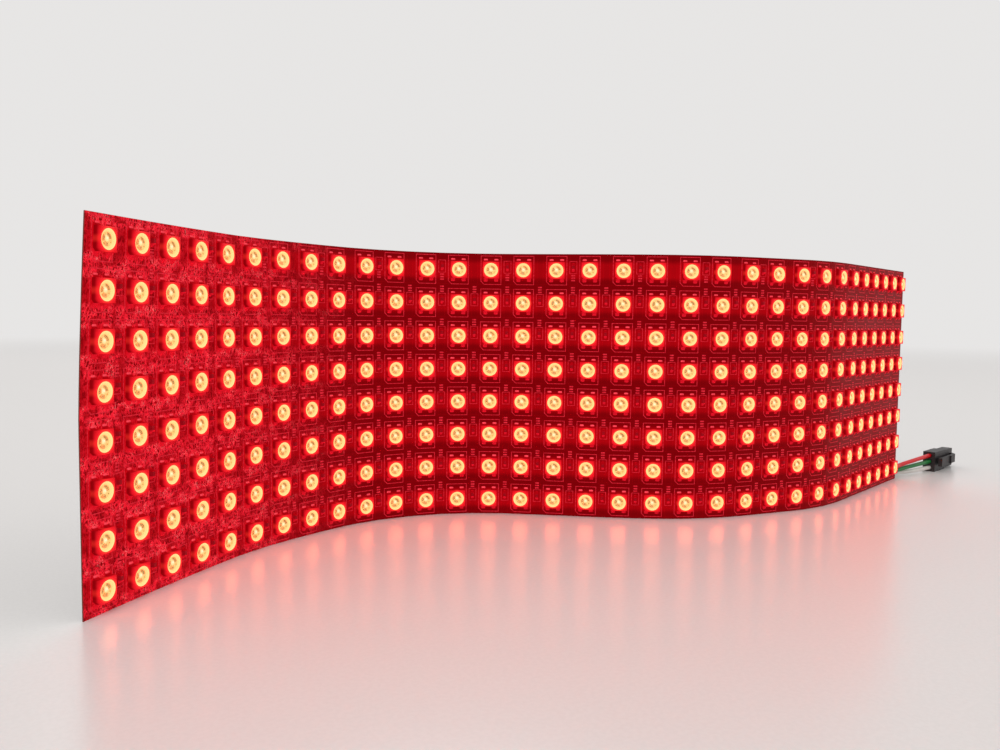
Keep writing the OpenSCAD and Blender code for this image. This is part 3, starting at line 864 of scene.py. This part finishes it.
driver_form = chip(driver_x, driver_y, 1.0, 0.62, seen_floor_z + pad_t, 0.13, 0)
driver = Finish("driver_chip_silicon", specular_ior_level=0.5, emission_strength=0.8)
x, y, height, number = in_led(driver)
ruled = 1 - abs((x * 14) % 1.0 - 0.5).rise(0.1, 0.3)
etched = driver.noise(driver.vector(x, y, 0.1), 6.0, detail=2)
bond_pads = abs(y - driver_y).rise(0.18, 0.2) * (1 - abs((x * 6.6) % 1.0 - 0.5).rise(0.16, 0.22))
driver_pattern_and_glow = bond_pads.between(
    (ruled * 0.3 + etched.rise(0.3, 0.7) * 0.7).between(colour(222, 150, 84), colour(190, 118, 60)),
    colour(240, 190, 118))
# painted light: the driver chip's orange and its emission are the lit chip's light, over its real ruled
# lines, etch and bond pads
driver.feed(base_color=driver_pattern_and_glow.times(0.3), emission_color=driver_pattern_and_glow,
            roughness=0.2 + 0.2 * etched)
driver_rows, driver_places = Form(), []
for row in range(rows):
    form, places = led_row(driver_form, row)
    driver_rows.add(form)
    driver_places += places
drivers = make_piece("driver_chips_bonded", driver_rows, [driver.material], driver_places, "led")
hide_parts("driver_chips")

# ---- Clear filling --------------------------------------------------------------------------
# Silicone is cast into each cup over the chips and cures with a slightly hollow surface. It is
# clear, so it shows as a gloss over what lies under it.

filling_r, filling_edge_z, hollow = 2.03, 1.555, 0.06
filling_form = Form()
filling_form.stack([
    circle(filling_r - 0.06, filling_edge_z - 0.12, 32), circle(filling_r, filling_edge_z - 0.03, 32),
    circle(filling_r - 0.03, filling_edge_z, 32),
    circle(filling_r * 0.72, filling_edge_z - hollow * 0.7, 32),
    circle(filling_r * 0.36, filling_edge_z - hollow, 32)])

clear = Finish("clear_silicone", specular_ior_level=0.5, ior=1.41, emission_strength=0.0)
x, y, height, number = in_led(clear)
ripple = clear.noise(clear.vector(x, y, 3 * number), 1.1, detail=1)
clear.feed(base_color=ripple.between(colour(255, 232, 168), colour(255, 224, 150)),
           alpha=0.08 + 0.06 * ripple, roughness=0.06 + 0.1 * ripple)
make_rows("led_fillings", filling_form, [clear.material], "led_lenses", sharp=60)

# ---- Terminals and solder -------------------------------------------------------------------
# Tinned strips fold down the upper and lower side of each body. Solder creeps up them from the
# film in a hollow fillet and shines pink in the red light.

lead_t, lead_w, lead_rise, lead_spacing = 0.15, 1.2, 0.85, 3.2
fillet_l, fillet_h = 0.8, 0.55


def solder_joint(width, thick, rise, ramp_l, ramp_h):
    """A strip up a wall at y = 0, with its fillet; the sides of the fillet draw in."""
    form = Form()
    rings = []
    for x, keep in ((-0.5, 0.82), (-0.42, 0.97), (0, 1.05), (0.42, 0.97), (0.5, 0.82)):
        top = rise - (0.03 if keep < 0.9 else 0)
        profile = [(0, 0), (0, top), (thick - 0.04, top), (thick, top - 0.05)]
        profile += [(thick + ramp_l * keep * t, max(0.0, (ramp_h * keep) * (1 - t) ** 1.7))
                    for t in (0, 0.2, 0.45, 0.72, 1)]
        rings.append([(x * width, y, z) for y, z in profile])
    form.stack(rings)
    return form


terminal_form = Form()
joint = solder_joint(lead_w, lead_t, lead_rise, fillet_l, fillet_h)
for side in (1, -1):
    for x in (-lead_spacing / 2, lead_spacing / 2):
        terminal_form.add(joint, lambda p: (side * p[0] + x, side * (p[1] + led_w / 2), p[2]))

tin = Finish("tin_in_red_light", metallic=0.8, specular_tint=red_sheen, emission_strength=0.6)
x, y, height, number = in_led(tin)
dull = tin.noise(tin.vector(x, y, height + 3 * number), 3.5, detail=3)
# painted light: the lower terminals are lit brighter red
lower = 1 - y.rise(-1.0, 1.0)
# painted highlight: a bright band across the foot of each upper fillet
foot = 1 - abs(y - 3.2).rise(0.1, 0.32)
# the tin is coloured with painted red light, lighter higher up and varied at random by dull spots, and
# glows by emission
tin_painted_red_light = foot.between(
    (lower * 0.7 + (dull - 0.5) * 0.8 + height * 0.15).rise(0.0, 1.0).between(
        colour(170, 4, 16), colour(230, 26, 46)),
    colour(236, 66, 80))
tin.feed(base_color=tin_painted_red_light.times(0.55), emission_color=tin_painted_red_light, roughness=0.25 + 0.3 * dull,
         normal=tin.bump(dull, 0.3, 0.00005))
make_rows("terminals_with_solder", terminal_form, [tin.material], "led_terminals", sharp=48)

# ---- Capacitors -----------------------------------------------------------------------------
# A small ceramic block with tinned ends stands between each two packages of a row and steadies
# their supply. It is soldered to the film by both ends.

cap_l, cap_w, cap_end, cap_up = 1.6, 0.8, 0.3, 1
cap_fillet_l, cap_fillet_h = 0.45, 0.4

ceramic_form = Form()


def block_ring(inset, height):
    a, b = cap_w / 2 - inset, cap_l / 2 - cap_end
    return [(-a, -b, height), (a, -b, height), (a, b, height), (-a, b, height)]


ceramic_form.stack([block_ring(0, 0), block_ring(0, cap_w - 0.12), block_ring(0.03, cap_w - 0.05),
                    block_ring(0.09, cap_w - 0.02)])
cap_joint = solder_joint(cap_w, cap_end, cap_w, cap_fillet_l, cap_fillet_h)
ends_form = Form()
for side in (1, -1):
    ends_form.add(cap_joint, lambda p: (side * p[0], side * (p[1] + cap_l / 2 - cap_end), p[2]))


def at_gaps(template):
    """The template set at each capacitor's place."""
    spots = [(*circuit_at((gap + 1) * pitch), (gap + 1) * pitch, edge_margin + row * pitch + cap_up)
             for row in range(rows) for gap in range(columns - 1) if has_capacitor(row, gap)]
    return set_on_front(template, spots, 7)


ceramic = Finish("capacitor_ceramic", specular_ior_level=0.4, specular_tint=red_sheen,
                 emission_strength=0.7)
x, y, height, number = in_led(ceramic)
speck = ceramic.noise(ceramic.vector(x, y, height + 3 * number), 7.0, detail=2)
# painted light: the ceramic's red is the LEDs' light and it glows by emission; specks vary its tone
ceramic_painted_red_light = speck.rise(0.35, 0.7).between(colour(158, 14, 26), colour(120, 6, 15))
ceramic.feed(base_color=ceramic_painted_red_light.times(0.4), emission_color=ceramic_painted_red_light,
             roughness=0.4 + 0.2 * speck)
form, places = at_gaps(ceramic_form)
ceramics = make_piece("capacitor_ceramics", form, [ceramic.material], places, "led")
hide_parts("capacitor_bodies")
form, places = at_gaps(ends_form)
cap_tin = make_piece("capacitor_tinned_ends", form, [tin.material], places, "led", sharp=48)
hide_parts("capacitor_ends")

# ---- Back pads and their solder -------------------------------------------------------------
# Tinned copper pads show in windows of the back film. On the right-hand group the lead's wires are
# stripped and soldered: the solder has run round the strands and out onto the pads.

back_pad_l, back_pad_w, back_pad_t, back_pad_spacing, pad_dome = 4, 2.6, 0.1, 4, 0.03
pad_groups = [(columns - 2, 3), (columns // 2, 2), (1, 3)]
mound_l, mound_w, mound_top, mound_x = 3.2, 2.2, 1.3, -0.25
strand_r, strand_turns = 0.13, 0.45


def rounded(length, width, corner, height, steps=4):
    """A level ring with round corners."""
    ring = []
    for k in range(4):
        x = (length / 2 - corner) * (1, -1, -1, 1)[k]
        y = (width / 2 - corner) * (1, 1, -1, -1)[k]
        for j in range(steps + 1):
            angle = math.tau * (k + j / steps) / 4
            ring.append((x + corner * math.cos(angle), y + corner * math.sin(angle), height))
    return ring


def mound_ring(share, height):
    """A ring of the solder: it follows the pad's shape at its foot and grows round towards its top."""
    power = 2 + 1.8 * share
    ring = []
    for k in range(28):
        c, s = math.cos(math.tau * k / 28), math.sin(math.tau * k / 28)
        reach = share * (abs(c) ** power + abs(s) ** power) ** (-1 / power)
        ring.append((mound_x + mound_l / 2 * reach * c, mound_w / 2 * reach * s, height))
    return ring


def strand(k):
    """One of seven strands, twisted round the middle one, from the cover's end down into the solder."""
    rings = []
    for j in range(9):
        t = j / 8
        x, height = 1.25 - 1.75 * t, 1.15 - 0.45 * t * t
        turn = math.tau * (k / 6 + strand_turns * t)
        away = 0 if k == 6 else 2.05 * strand_r * (1 + 0.25 * t)
        y, z = away * math.cos(turn), height + away * math.sin(turn)
        rings.append([(x, y + strand_r * math.cos(a), z + strand_r * math.sin(a))
                      for a in (math.tau * m / 6 for m in range(6))])
    form = Form()
    form.stack(rings[::-1])
    return form


def at_pads(template, groups):
    """The template set on each pad of the groups: its x runs towards the lead and its z outwards."""
    form, places = Form(), []
    for column, count in groups:
        centre, heading = columns_at[column]
        for k in range(count):
            z = board_h / 2 + (k - (count - 1) / 2) * back_pad_spacing

            def stand(p):
                out = board_t / 2 + p[2] - curl(edge_margin + column * pitch - p[0], z + p[1])
                flat = centre - p[0] * along(heading) + out * behind(heading)
                return (flat.x, flat.y, z + p[1])

            places += [(p[0], p[1] + 5 * k, p[2] + 3 * column) for p in template.points]
            form.add(template, stand)
    return form, places


def bare_tin(name, frost_scale):
    """Tin that cooled in the air: bright, with a frosted skin."""
    finish = Finish(name, metallic=1.0)
    x, y, height = finish.drawn_place("pad")
    place = finish.vector(x, y, height)
    frost = finish.noise(place, frost_scale, detail=3)
    smear = finish.noise(place, 0.8, detail=2)
    finish.feed(
        base_color=smear.rise(0.3, 0.7).between(colour(214, 213, 212), colour(176, 174, 176)),
        roughness=0.16 + 0.3 * frost,
        normal=finish.bump(0.6 * frost + smear, 0.35, 0.00005))
    return finish.material


pad_form = Form()
pad_form.stack([
    rounded(back_pad_l, back_pad_w, 0.4, 0), rounded(back_pad_l, back_pad_w, 0.4, back_pad_t - 0.03),
    rounded(back_pad_l - 0.12, back_pad_w - 0.12, 0.36, back_pad_t),
    rounded(back_pad_l - 0.7, back_pad_w - 0.7, 0.2, back_pad_t + 0.7 * pad_dome),
    rounded(back_pad_l - 2.2, back_pad_w - 2.1, 0.1, back_pad_t + pad_dome)])
form, places = at_pads(pad_form, pad_groups)
pads = make_piece("pads_in_back_film", form, [bare_tin("pad_tin", 2.4)], places, "pad")
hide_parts("back_pads")

mound_form = Form()
mound_form.stack([mound_ring(share, back_pad_t + mound_top * math.cos(share * math.pi / 2) ** 1.25)
                  for share in (1, 0.96, 0.9, 0.82, 0.72, 0.6, 0.48, 0.36, 0.24, 0.12)])
form, places = at_pads(mound_form, pad_groups[:1])
mounds = make_piece("solder_on_wires", form, [bare_tin("solder_tin", 1.2)], places, "pad", sharp=60)
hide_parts("wire_solder")

strands_form = Form()
for k in range(7):
    strands_form.add(strand(k))
form, places = at_pads(strands_form, pad_groups[:1])
bare_copper = Finish("copper_strand", metallic=1.0)
x, y, height = bare_copper.drawn_place("pad")
wetted = bare_copper.noise(bare_copper.vector(x, y, height), 1.5, detail=2)
bare_copper.feed(
    base_color=(1 - x.rise(0.35, 0.95) + wetted - 0.5).rise(0.0, 1.0).between(
        colour(214, 138, 96), colour(206, 200, 194)),
    roughness=0.24 + 0.2 * wetted)
strands = make_piece("bare_strands", form, [bare_copper.material], places, "pad", sharp=70)

# ---- Plug -----------------------------------------------------------------------------------
# A three-way latching plug housing, moulded in black nylon. It lies on its side with the latch
# towards the front. Crimped contacts hold the wires in its chambers.

nylon = Finish("black_nylon", specular_ior_level=0.45, ior=1.53)
place = nylon.object_place()
spark = nylon.noise(place, 2600, detail=2)
flow = nylon.noise(place, 140, detail=3)
nylon.feed(
    base_color=flow.rise(0.35, 0.7).between(colour(26, 20, 22), colour(40, 30, 32)),
    roughness=0.38 + 0.22 * spark, normal=nylon.bump(spark, 0.25, 0.00004))
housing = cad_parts["plug_housing"]
housing.data.materials.clear()
housing.data.materials.append(nylon.material)
soften = housing.modifiers.new("moulded_edges", "BEVEL")
soften.width = 0.12 * MM
soften.segments = 2
soften.limit_method = "ANGLE"
soften.angle_limit = math.radians(50)

brass = Finish("tinned_contact", metallic=0.95)
place = brass.object_place()
rolled_mark = brass.noise(place, 1900, detail=2)
brass.feed(
    base_color=rolled_mark.rise(0.35, 0.65).between(colour(206, 196, 180), colour(178, 164, 142)),
    roughness=0.25 + 0.2 * rolled_mark)
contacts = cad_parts["plug_contacts"]
contacts.data.materials.clear()
contacts.data.materials.append(brass.material)

# ---- Table and light ------------------------------------------------------------------------
# A plain pale table with a slight polish, and soft light from a wide lamp and a pale room.

table = bpy.data.meshes.new("table")
table.from_pydata([(-12, -12, 0), (12, -12, 0), (12, 12, 0), (-12, 12, 0)], [], [(0, 1, 2, 3)])
table_top = bpy.data.objects.new("table", table)
bpy.context.scene.collection.objects.link(table_top)
laminate = Finish("pale_laminate", specular_ior_level=0.5)
place = laminate.object_place()
fleck = laminate.noise(place, 1100, detail=2)
laminate.feed(base_color=fleck.rise(0.3, 0.7).between(colour(229, 226, 224), colour(226, 223, 221)),
              roughness=0.24 + 0.03 * fleck)
# far from the object the table runs over into the pale room without a line
x, y = (laminate.node("ShaderNodeSeparateXYZ", (), {0: place}, output=k) for k in range(2))
straight, mirrored = (laminate.node("ShaderNodeLightPath", output=kind)
                      for kind in ("Is Camera Ray", "Is Glossy Ray"))
far = ((x * x + y * y) ** 0.5).rise(0.7, 2.4) * straight.larger(mirrored)
room_colour, room_light, room_seen = (1.0, 0.985, 0.975, 1.0), 0.68, 0.80
glow = laminate.node("ShaderNodeEmission", (), {"Color": room_colour, "Strength": room_seen})
mixed = laminate.node("ShaderNodeMixShader", (), {
    0: far, 1: Shade(laminate, laminate.shader.outputs[0]), 2: glow})
laminate.tree.links.new(mixed.socket, laminate.tree.nodes["Material Output"].inputs["Surface"])
table.materials.append(laminate.material)

for name, place, size, energy in (
        ("key_lamp", (-0.7, -0.75, 0.95), 0.9, 5.0), ("fill_lamp", (0.9, -0.5, 0.7), 0.8, 1.2),
        ("rear_lamp", (0.3, 0.9, 0.8), 0.8, 1.6)):
    lamp_data = bpy.data.lights.new(name, "AREA")
    lamp_data.size = size
    lamp_data.energy = energy
    lamp = bpy.data.objects.new(name, lamp_data)
    lamp.location = place
    lamp.rotation_euler = (Vector((0, 0, 0.03)) - Vector(place)).to_track_quat("-Z", "Y").to_euler()
    bpy.context.scene.collection.objects.link(lamp)

room = bpy.data.worlds.new("pale_room")
bpy.context.scene.world = room
room.use_nodes = True
tree = room.node_tree
background = tree.nodes["Background"]
ray = tree.nodes.new("ShaderNodeLightPath")
seen = ray.outputs["Is Camera Ray"]
for kind in ("Is Glossy Ray", "Is Transmission Ray"):
    either = tree.nodes.new("ShaderNodeMath")
    either.operation = "MAXIMUM"
    tree.links.new(seen, either.inputs[0])
    tree.links.new(ray.outputs[kind], either.inputs[1])
    seen = either.outputs[0]
strength = tree.nodes.new("ShaderNodeMapRange")
strength.inputs["To Min"].default_value = room_light
strength.inputs["To Max"].default_value = room_seen
tree.links.new(seen, strength.inputs["Value"])
tree.links.new(strength.outputs[0], background.inputs["Strength"])
background.inputs["Color"].default_value = room_colour
bpy.context.scene.view_settings.view_transform = "Standard"
